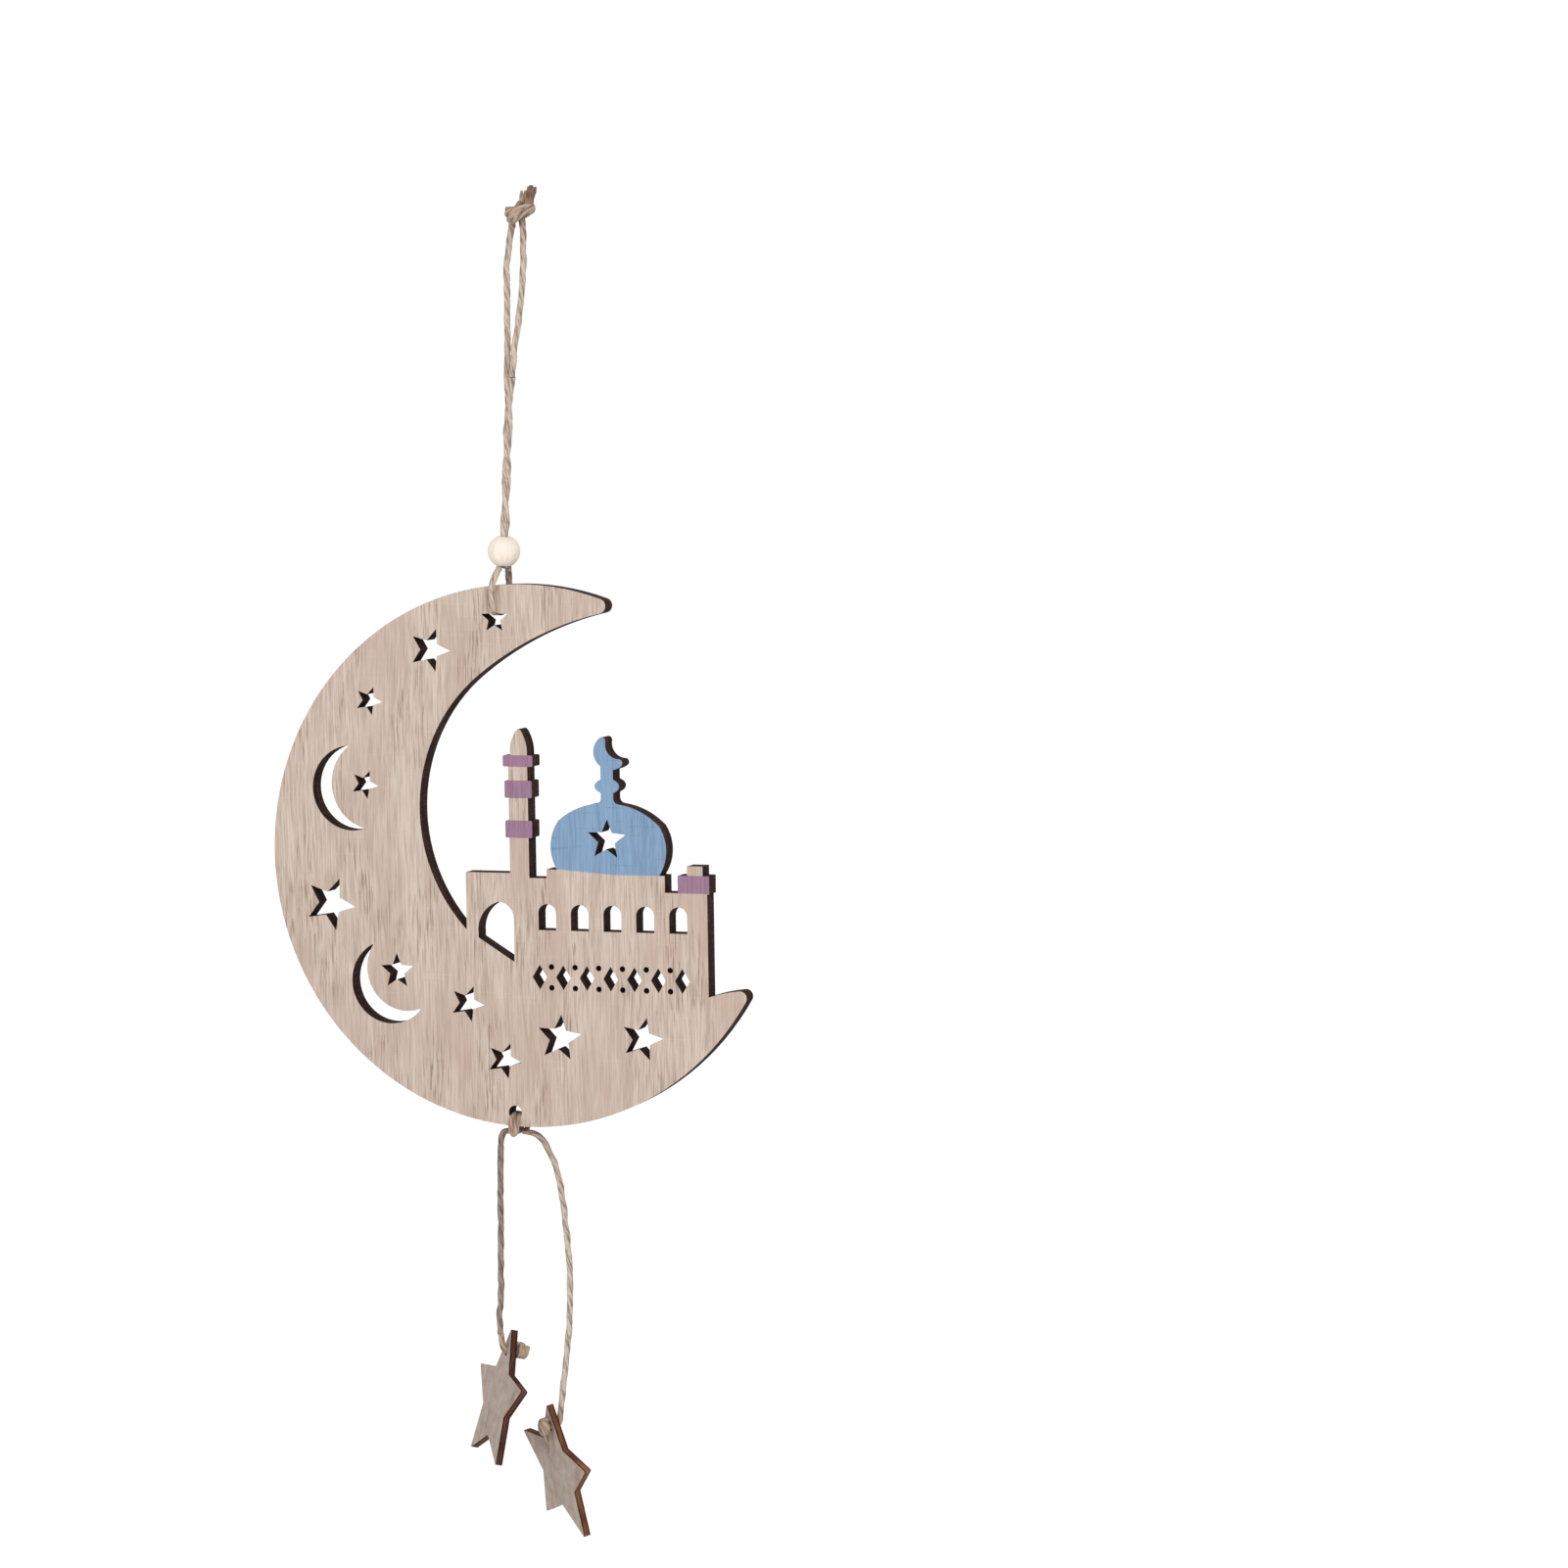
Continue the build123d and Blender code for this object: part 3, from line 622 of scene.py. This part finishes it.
# loose fibres: each leaves the twine at a slant, curls, and is a thin three-sided thread
def strayFibres(line, radius, count, reach):
    look = looseFibre
    ahead, side, other = framesAlong(line)
    step = np.linalg.norm(line[1] - line[0])
    margin = min(len(line) // 3, int(look["endRoom"] * reach / step) + 1)
    pick = chance.integers(margin, len(line) - margin, count)
    angle = chance.uniform(0, fullTurn, count)
    out = np.cos(angle)[:, None] * side[pick] + np.sin(angle)[:, None] * other[pick]
    run = ahead[pick] * chance.choice([-1.0, 1.0], count)[:, None]
    cross = np.cross(out, run)
    share = np.linspace(0, 1, look["points"])[None, :, None]
    far = chance.uniform(*look["rise"], count)[:, None, None] * reach
    length = chance.uniform(*look["run"], count)[:, None, None] * reach
    curl = chance.normal(0, look["curl"], count)[:, None, None] * reach
    base = line[pick][:, None, :] + out[:, None, :] * radius * look["root"]
    centre = base + out[:, None, :] * far * share ** look["bend"] + run[:, None, :] * length * share
    centre = centre + cross[:, None, :] * curl * np.sin(share * math.pi * look["curlTurn"])
    thin = look["thick"] * mm * (1.0 - look["thinning"] * share)
    turn = np.arange(look["sides"]) / look["sides"] * fullTurn
    ringOut = np.cos(turn)[None, None, :, None] * out[:, None, None, :]
    ringCross = np.sin(turn)[None, None, :, None] * cross[:, None, None, :]
    return centre[:, :, None, :] + thin[..., None] * (ringOut + ringCross)


def closeFibres(points):
    count, rings, sides = points.shape[:3]
    start = np.arange(count)[:, None] * rings * sides
    quads = (start[:, :, None] + ringQuads(rings, sides)[0][None]).reshape(-1, 4)
    fans = np.concatenate([start + np.array([[0, 2, 1]]),
                           start + (rings - 1) * sides + np.array([[0, 1, 2]])])
    verts = points.reshape(-1, 3)
    spot = looseFibre["uvSpot"]
    return (verts, quads, fans, np.zeros(len(verts)),
            np.full((len(quads), 4, 2), spot), np.full((len(fans), 3, 2), spot))


# one mesh from tubes and fibres, with the UV map and the attribute of painted shade that the jute
# reads
def joinPieces(name, pieces, material):
    shift = np.cumsum([0] + [len(piece[0]) for piece in pieces[:-1]])
    verts = np.concatenate([piece[0] for piece in pieces])
    quads = np.concatenate([piece[1] + step for piece, step in zip(pieces, shift)])
    tris = np.concatenate([piece[2] + step for piece, step in zip(pieces, shift)])
    hollowAndShade = np.concatenate([piece[3] for piece in pieces])
    uv = np.concatenate([piece[part].reshape(-1, 2) for part in (4, 5) for piece in pieces])
    mesh = bpy.data.meshes.new(name)
    corners = np.concatenate([quads.ravel(), tris.ravel()]).astype(np.int32)
    starts = np.concatenate([np.arange(len(quads)) * 4, len(quads) * 4 + np.arange(len(tris)) * 3])
    mesh.vertices.add(len(verts))
    mesh.vertices.foreach_set("co", verts.ravel())
    mesh.loops.add(len(corners))
    mesh.loops.foreach_set("vertex_index", corners)
    mesh.polygons.add(len(starts))
    mesh.polygons.foreach_set("loop_start", starts.astype(np.int32))
    mesh.polygons.foreach_set("use_smooth", np.ones(len(starts), bool))
    mesh.update(calc_edges=True)
    mesh.uv_layers.new(name="lay").data.foreach_set("uv", uv.ravel())
    mesh.attributes.new("hollowAndShade", "FLOAT", "POINT").data.foreach_set("value", hollowAndShade)
    mesh.materials.append(material)
    return addObject(name, mesh)


# taper and shade are given as places along the line from 0 to 1 and the values there
def twineParts(line, radius=None, taper=((0, 1), (1, 1)), shade=((0, 1), (0, 0)), fibres=None):
    radius = (radius or twine["radius"]) * mm
    even = evenly(line, twine["step"] * mm)
    along = lengthAlong(even)
    share = along / along[-1]
    grid = twineGrid(even, radius, twine["lay"] * mm,
                     np.interp(share, *taper), np.interp(share, *shade))
    parts = [closeGrid(grid)]
    count = int(along[-1] / mm * (looseFibre["perMm"] if fibres is None else fibres))
    if count > 2:
        threads = strayFibres(even, radius, count, looseFibre["reach"] * mm)
        parts.append(closeFibres(threads))
    return parts


def finishTwine(piece, node, body):
    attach(piece, body)
    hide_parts(node)


cords = {
    "hangerLegLeft": {
        "node": "hanger_left_leg", "body": "hanger", "jute": "pale",
        "length": 38.3, "farEnd": "object",
        "shade": ((0, 0.04, 0.1, 0.72, 0.86, 0.95, 1), (0.5, 0.3, 0, 0, 0.45, 0.4, 0.2)),
        "route": ((-1.3, 0, 0.8), (-2.3, 0, -4.5), (-3.0, 0, -12.0), (-2.85, 0, -22.0),
                  (-3.09, 0, -30.96), (-3.3, 0, -37.4))},
    "hangerLegRight": {
        "node": "hanger_right_leg", "body": "hanger", "jute": "pale",
        "length": 38.5, "farEnd": "object",
        "shade": ((0, 0.05, 0.12, 0.93, 1), (0.45, 0.35, 0, 0, 0.2)),
        "route": ((1.75, 0, 0.8), (1.95, 0, -6.0), (1.3, 0, -15.0), (0.2, 0, -23.0),
                  (-1.39, 0, -31.06), (-1.9, 0, -37.4))},
    "boardLoop": {
        "node": "hanger_plate_loop", "body": "plate_loop", "jute": "pale", "radius": 0.86,
        "length": 31.0, "farEnd": "object",
        "shade": ((0, 0.3, 0.48, 0.56, 1), (0.6, 0.6, 0.6, 0, 0)),
        "route": ((-4.49, 0.85, -85.9), (-5.2, 4.1, -88.71), (-6.9, 4.1, -97.1),
                  (-7.15, 0, -97.4), (-7.3, -4.1, -97.1), (-7.0, -4.1, -88.71),
                  (-6.19, -0.85, -85.9))},
    "pendantHitch": {
        "node": "pendant_hitch", "body": "crescent", "jute": "tan", "radius": 0.7,
        "length": 40.0, "farEnd": "object",
        "shade": ((0, 0.12, 0.3, 0.4, 0.6, 0.7, 0.88, 1),
                  (0.15, 0.4, 0.5, 0, 0, 0.5, 0.4, 0.3)),
        "route": ((-7.2, 0, -231.82), (-4.7, 0, -231.82), (-4.7, 4.0, -231.82),
                  (-4.7, 4.0, -227.1), (-4.7, -3.7, -227.1), (-4.75, -3.8, -231.9),
                  (-3.15, -3.8, -231.9), (-3.2, -3.7, -227.1), (-3.2, 4.0, -227.1),
                  (-3.2, 4.0, -231.82), (-3.2, 0, -231.82), (-0.7, 0, -231.82))},
    "pendantTwineLeft": {
        "node": "pendant_cord_left", "body": "pendant_left", "jute": "grey",
        "length": 54.5, "farEnd": "knot",
        "shade": ((0, 1), (0.0, 0.0)),
        "route": ((-7.2, 0, -231.82), (-8.1, 0, -231.82), (-8.9, 0, -233.02),
                  (-9.2, 0, -235.02), (-9.45, 0, -239.34), (-9.95, 0, -275.84),
                  (-10.77, 0.2, -281.19), (-10.38, 0.2, -285.17))},
    "pendantTwineRight": {
        "node": "pendant_cord_right", "body": "pendant_right", "jute": "pale",
        "length": 74.9, "farEnd": "knot",
        "shade": ((0, 0.06, 0.2, 1), (0.45, 0.35, 0.05, 0.0)),
        "route": ((-0.7, 0, -231.82), (0.6, 0, -231.9), (2.5, 0, -233.7), (4.7, 0, -237.0),
                  (6.5, 0, -241.7), (7.7, 0, -248.4), (8.75, 0, -257.84), (9.5, 0, -268.82),
                  (9.15, 0, -279.8), (7.9, 0, -291.84), (7.13, -0.71, -298.14),
                  (6.54, -0.71, -303.11))},
}

cordPieces = {}
for name, spec in cords.items():
    line = readRoute(spec["route"])
    parts = twineParts(line, spec.get("radius"), shade=spec["shade"])
    piece = joinPieces(name, parts, jute[spec["jute"]])
    finishTwine(piece, spec["node"], spec["body"])
    cordPieces[name] = (piece, line)
    print(name, "drawn length", round(lengthAlong(line)[-1] / mm, 1), "mm")


# twisted pair: both strands wind round one straight line from the legs down through the bead,
# a little further apart at its two ends

pair = {"top": (-2.6, 0, -37.4), "bottom": (-5.34, 0, -85.9), "marks": (0, 0.35, 0.65, 1),
        "length": 48.6, "diameter": 2.2, "radius": 0.76, "lay": -24.0,
        "spread": 0.4, "open": 0.74, "ends": 6.0, "taper": ((0, 0.08, 1), (1.05, 1, 1)),
        "shade": ((0, 0.06, 0.95, 1), (0.2, 0, 0, 0.6))}


def buildPair():
    top, bottom = np.array(pair["top"]), np.array(pair["bottom"])
    line = readRoute([tuple(top + (bottom - top) * mark) for mark in pair["marks"]])
    even = evenly(line, twine["step"] * mm)
    along = lengthAlong(even)
    ahead, side, other = framesAlong(even)
    fromEnd = np.minimum(along, along[-1] - along) / mm
    opening = np.clip(1 - fromEnd / pair["ends"], 0, 1) ** 2
    apart = pair["spread"] + (pair["open"] - pair["spread"]) * opening
    parts = []
    for start in (0, math.pi):
        phase = math.pi / 2 + start + fullTurn * along / (pair["lay"] * mm)
        offset = np.cos(phase)[:, None] * side + np.sin(phase)[:, None] * other
        parts += twineParts(even + offset * apart[:, None] * mm, pair["radius"],
                            taper=pair["taper"], shade=pair["shade"])
    piece = joinPieces("twistedPair", parts, jute["pale"])
    finishTwine(piece, "hanger_twisted_pair", "hanger")
    return piece, line


pairPiece, pairLine = buildPair()


# turns of a coil round an axis: flattened circles, from one angle to another in degrees, that
# step along the axis and are drawn together on one side
def coilRoute(centre, axes, wide, deep, rise, start, stop, gather=0.0, step=45):
    angles = np.radians(np.arange(start, stop + 1, step))
    share = np.linspace(-0.5, 0.5, len(angles))
    height = rise * share * (1 - gather * np.cos(angles))
    local = np.stack([wide * np.cos(angles), deep * np.sin(angles), height], -1)
    return [tuple(point) for point in np.array(centre) + local @ np.array(axes)]


fray = {"turn": 2.4, "tipLift": (-0.8, 0.5), "wander": 0.12, "fibres": 2.0,
        "taper": ((0, 0.7, 1), (1, 1, 0.55)), "rootShade": (0, 0.5), "tipShade": (0, 0.3)}


# a cut end come apart: thin strands side by side that spread a little towards their tips
def frayedTail(start, end, narrow, wide, count, radius):
    start, end = np.array(start), np.array(end)
    parts = []
    for index in range(count):
        angle = fray["turn"] * index
        out = np.array([math.cos(angle), math.sin(angle), 0]) * math.sqrt((index + 0.5) / count)
        tip = end + out * wide + np.array([0, 0, chance.uniform(*fray["tipLift"])])
        middle = (start + end) / 2 + out * (narrow + wide) / 2
        middle = middle + chance.normal(0, fray["wander"], 3)
        line = readRoute((tuple(start + out * narrow), tuple(middle), tuple(tip)))
        shade = ((0, 1), (chance.uniform(*fray["rootShade"]), chance.uniform(*fray["tipShade"])))
        parts += twineParts(line, radius, taper=fray["taper"], shade=shade, fibres=fray["fibres"])
    return parts


# knot of the hanging eye: both strands wrapped round themselves on a slant, with two frayed tails

eyeKnot = {
    "centre": (1.2, 0, 4.2), "tilt": 21.0, "wide": 3.5, "deep": 2.5, "rise": 2.7, "gather": 0.65,
    "from": -190, "to": 890, "radius": 0.86,
    "strands": (
        ((-1.3, 0, 0.6), (-0.9, -0.2, 2.2), (-0.2, -0.7, 3.8), (0.8, -0.8, 5.2), (1.6, -0.3, 6.6)),
        ((1.75, 0, 0.6), (1.5, 0.3, 2.2), (1.0, 0.8, 3.8), (1.3, 0.9, 5.4), (2.0, 0.4, 6.8)),
        ((0.2, 1.1, 2.4), (0.5, 1.3, 4.0), (1.2, 1.0, 5.6))),
    "strandShade": ((0, 1), (0.4, 0.6)),
    "tails": {
        "eyeTailBrown": {"jute": "brown", "start": (3.4, -0.6, 5.0), "end": (4.6, -0.7, 10.6),
                         "narrow": 0.75, "wide": 1.05, "count": 9, "radius": 0.52},
        "eyeTailPale": {"jute": "pale", "start": (1.2, 0.7, 5.0), "end": (2.1, 0.9, 9.3),
                        "narrow": 0.6, "wide": 0.85, "count": 6, "radius": 0.5}},
}


def buildEyeKnot():
    tilt = math.radians(eyeKnot["tilt"])
    slant, rise = math.cos(tilt), math.sin(tilt)
    axes = ((slant, 0, rise), (0, 1, 0), (-rise, 0, slant))
    wrap = coilRoute(eyeKnot["centre"], axes, eyeKnot["wide"], eyeKnot["deep"], eyeKnot["rise"],
                     eyeKnot["from"], eyeKnot["to"], eyeKnot["gather"])
    parts = twineParts(readRoute(wrap), eyeKnot["radius"])
    for route in eyeKnot["strands"]:
        parts += twineParts(readRoute(route), eyeKnot["radius"], shade=eyeKnot["strandShade"])
    knot = joinPieces("eyeKnot", parts, jute["tan"])
    finishTwine(knot, "hanger_knot", "hanger")
    pieces = [knot]
    for name, spec in eyeKnot["tails"].items():
        strands = frayedTail(spec["start"], spec["end"], spec["narrow"], spec["wide"],
                             spec["count"], spec["radius"])
        tail = joinPieces(name, strands, jute[spec["jute"]])
        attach(tail, "hanger")
        pieces.append(tail)
    return pieces


eyePieces = buildEyeKnot()


# end knots: the twine turns into the star's hole and is coiled on the star's other side; inside,
# beyond, seat and sink are millimetres square to the star's face

endKnots = {
    "left": {"name": "endKnotLeft", "node": "pendant_knot_left", "body": "star_left",
             "outward": 1, "turns": 3.1, "ring": 1.4, "lift": 0.9, "jute": "tan", "tail": None,
             "entry": ((-10.38, 0.2, -285.17), (-10.2, 0.2, -287.0), (-9.85, 0.2, -289.1))},
    "right": {"name": "endKnotRight", "node": "pendant_knot_right", "body": "star_right",
              "outward": -1, "turns": 2.1, "ring": 1.6, "lift": 0.4, "jute": "tan",
              "tail": {"start": (0.2, 1.3, -0.6), "radius": 0.62,
                       "steps": ((0, 0, 0), (0.2, -0.3, -1.6), (0.1, 0.3, -3.2), (0.5, 0.2, -6.0)),
                       "taper": ((0, 0.5, 1), (1, 0.8, 0.35)), "shade": ((0, 1), (0.2, 0.4))},
              "entry": ((6.54, -0.71, -303.11), (6.3, -0.71, -305.4), (5.99, -0.71, -307.67))},
    "inside": 1.0, "beyond": 1.4, "seat": 1.1, "sink": 0.35, "step": 0.8, "oval": 1.05,
    "startAngle": 60,
}


def buildEndKnot(side):
    spec = endKnots[side]
    turn = np.array(turnMatrix(star[side]["turn"]))
    centre = np.array(star[side]["place"])
    axes = turn.T
    out = spec["outward"]
    faceY = star["thickness"] if out > 0 else 0.0
    hole = star["holeReach"]

    def inStar(x, y, z):
        return tuple(centre + turn @ np.array([x, y, z]))

    inside = inStar(0, faceY - out * endKnots["inside"], hole)
    through = inStar(0, faceY + out * endKnots["beyond"], hole)
    parts = twineParts(readRoute(spec["entry"] + (inside, through)))
    depth = endKnots["step"] * spec["turns"]
    seat = endKnots["seat"] + depth / 2 - endKnots["sink"]
    middle = inStar(0, faceY + out * seat, hole + spec["lift"])
    begin = endKnots["startAngle"]
    coil = coilRoute(middle, (axes[0], axes[2], out * axes[1]), spec["ring"],
                     spec["ring"] * endKnots["oval"], depth, begin, begin + 360 * spec["turns"])
    parts += twineParts(readRoute(coil))
    tail = spec["tail"]
    if tail:
        x, beyond, z = tail["start"]
        start = np.array(inStar(x, faceY + out * beyond, hole + z))
        route = [tuple(start + np.array(step)) for step in tail["steps"]]
        parts += twineParts(readRoute(route), tail["radius"], tail["taper"], tail["shade"])
    piece = joinPieces(spec["name"], parts, jute[spec["jute"]])
    finishTwine(piece, spec["node"], spec["body"])
    return piece


endPieces = {side: buildEndKnot(side) for side in ("left", "right")}
print("knots tied")

for name, (piece, line) in cordPieces.items():
    spec = cords[name]


# bead: a turned ball, a circle carried round the bore, with softened mouths

bead = {"centre": (-5.1, 0, -81.7), "axis": (-0.05634, 0, -0.99841), "radius": 4.15, "bore": 1.4,
        "mouth": 0.35, "arcPoints": 49, "mouthPoints": 7, "sides": 64,
        "colour": tone(249, 237, 222), "shade": tone(236, 221, 204),
        "grain": (900, 900, 120), "grainShare": 0.5, "clouds": (160, 160, 60), "cloudShare": 0.4,
        "shadeRange": (0.35, 0.62), "rough": 0.55, "shine": 0.3,
        "bump": {"strength": 0.12, "distance": 0.00006}}


def beadMaterial():
    material, tree, shader = newMaterial("bead wood")
    place = addNode(tree, "ShaderNodeTexCoord").outputs["Object"]
    grain = noise(tree, place, bead["grain"])
    clouds = noise(tree, place, bead["clouds"], detail=2.0)
    share = calc(tree, "MULTIPLY_ADD", grain, bead["grainShare"],
                 calc(tree, "MULTIPLY", clouds, bead["cloudShare"]))
    colour = blendColour(tree, spread(tree, share, *bead["shadeRange"]),
                         bead["colour"], bead["shade"])
    put(tree, shader.inputs["Base Color"], colour)
    shader.inputs["Roughness"].default_value = bead["rough"]
    shader.inputs["Specular IOR Level"].default_value = bead["shine"]
    addBump(tree, shader, grain, **bead["bump"])
    return material


def buildBead():
    radius, bore, mouth = bead["radius"], bead["bore"], bead["mouth"]
    lip = math.acos((bore + mouth) / radius)
    swing = np.linspace(-lip, lip, bead["arcPoints"])
    outer = np.stack([radius * np.cos(swing), radius * np.sin(swing)], -1)
    top = radius * math.sin(lip)
    bend = np.linspace(0, math.pi / 2, bead["mouthPoints"])[1:]
    upper = np.stack([bore + mouth - mouth * np.sin(bend), top - mouth + mouth * np.cos(bend)], -1)
    lower = upper[::-1] * np.array([1, -1])
    profile = np.concatenate([outer, upper, lower])
    rings, sides = len(profile), bead["sides"]
    angle = np.arange(sides) / sides * fullTurn
    axis = unit(np.array(bead["axis"]))
    side = unit(np.cross(axis, np.array([0.0, 1.0, 0.0])))
    other = np.cross(axis, side)
    around = np.cos(angle)[:, None] * side + np.sin(angle)[:, None] * other
    points = profile[:, None, :1] * around[None] + profile[:, None, 1:] * axis[None, None]
    verts = (points + np.array(bead["centre"])).reshape(-1, 3) * mm
    quads = ringQuads(rings + 1, sides)[0] % (rings * sides)  # the last ring joins the first
    mesh = bpy.data.meshes.new("turnedBead")
    mesh.from_pydata(verts.tolist(), [], quads.tolist())
    mesh.polygons.foreach_set("use_smooth", np.ones(len(quads), bool))
    mesh.update()
    mesh.materials.append(beadMaterial())
    piece = addObject("turnedBead", mesh)
    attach(piece, "bead")
    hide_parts("spacer_bead")


buildBead()
print("bead turned")


# studio: pale floor under the hanging ornament, soft lamps from the front, even white all round

studio = {"floor": -0.43, "floorHalf": 6.0, "floorColour": (0.9, 0.9, 0.9, 1),
          "floorGlow": 1.2, "glowShare": 0.8, "world": 0.55,
          "lamps": (("key", (0.75, -1.1, 0.45), 1.0, 9.5), ("fill", (-1.1, -1.1, 0.1), 1.0, 4.5)),
          "aim": (-0.005, 0, -0.17)}


# the share where the eye or a reflection sees the surface, and nothing where it only lights
def seenShare(tree, share):
    path = addNode(tree, "ShaderNodeLightPath")
    seen = calc(tree, "MAXIMUM", path.outputs["Is Camera Ray"], path.outputs["Is Glossy Ray"])
    seen = calc(tree, "MAXIMUM", seen, path.outputs["Is Transmission Ray"])
    return calc(tree, "MULTIPLY", seen, share)


def buildFloor():
    material = bpy.data.materials.new("pale floor")
    material.use_nodes = True
    tree = material.node_tree
    tree.nodes.clear()
    paper = addNode(tree, "ShaderNodeBsdfDiffuse")
    paper.inputs["Color"].default_value = studio["floorColour"]
    glow = addNode(tree, "ShaderNodeEmission")
    glow.inputs["Strength"].default_value = studio["floorGlow"]
    mix = addNode(tree, "ShaderNodeMixShader")
    put(tree, mix.inputs[0], seenShare(tree, studio["glowShare"]))
    put(tree, mix.inputs[1], paper.outputs[0])
    put(tree, mix.inputs[2], glow.outputs[0])
    put(tree, addNode(tree, "ShaderNodeOutputMaterial").inputs[0], mix.outputs[0])
    half, low = studio["floorHalf"], studio["floor"]
    corners = [(-half, -half, low), (half, -half, low), (half, half, low), (-half, half, low)]
    mesh = bpy.data.meshes.new("floor")
    mesh.from_pydata(corners, [], [(0, 1, 2, 3)])
    mesh.materials.append(material)
    addObject("floor", mesh)


def lightStudio():
    for name, place, size, power in studio["lamps"]:
        lamp = bpy.data.lights.new(name, "AREA")
        lamp.shape = "DISK"
        lamp.size = size
        lamp.energy = power
        holder = addObject(name, lamp)
        toward = Vector(studio["aim"]) - Vector(place)
        holder.location = place
        holder.rotation_euler = toward.to_track_quat("-Z", "Y").to_euler()
    world = bpy.data.worlds.new("white room")
    bpy.context.scene.world = world
    world.use_nodes = True
    tree = world.node_tree
    dim = studio["world"]
    strength = calc(tree, "MULTIPLY_ADD", seenShare(tree, 1.0), 1.0 - dim, dim)
    tree.nodes["Background"].inputs["Color"].default_value = (1, 1, 1, 1)
    put(tree, tree.nodes["Background"].inputs["Strength"], strength)
    bpy.context.scene.view_settings.view_transform = "Standard"


buildFloor()
lightStudio()
print("studio lit")
